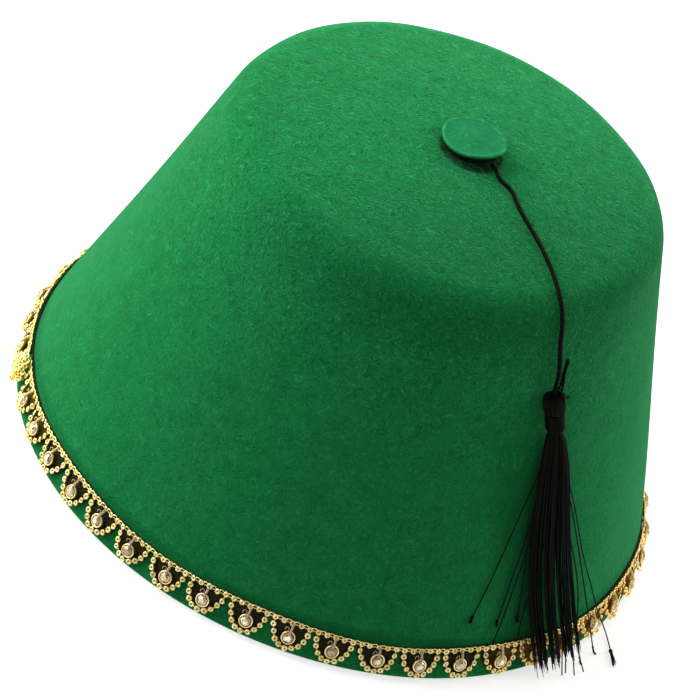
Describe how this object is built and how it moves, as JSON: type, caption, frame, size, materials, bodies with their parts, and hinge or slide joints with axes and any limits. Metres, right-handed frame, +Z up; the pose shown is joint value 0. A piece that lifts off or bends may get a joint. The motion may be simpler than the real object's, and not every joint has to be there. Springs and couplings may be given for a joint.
{
  "type": "fez hat",
  "caption": "Stiff felt fez hat with a shallow domed crown, a felt button, a cord with a tassel and a scalloped beaded trim round its rim.",
  "frame": {"origin": "centre of the rim, on the surface that the hat stands on", "axes": "+Z up through the crown, -Y the front, where the cord and the tassel hang"},
  "size_m": [0.1936, 0.1936, 0.1221],
  "materials": {
    "green_felt": "matt pressed wool felt",
    "black_silk": "silky thread with a soft sheen",
    "gold_beads": "shiny gold beads",
    "dark_net": "dark matt net"
  },
  "bodies": {
    "root": {"felt_crown": "green_felt", "crown_button": "green_felt", "tassel_cord": "black_silk", "tassel": "black_silk", "tassel_binding": "black_silk", "gold_trim": "gold_beads", "trim_net": "dark_net"}
  },
  "joints": []
}
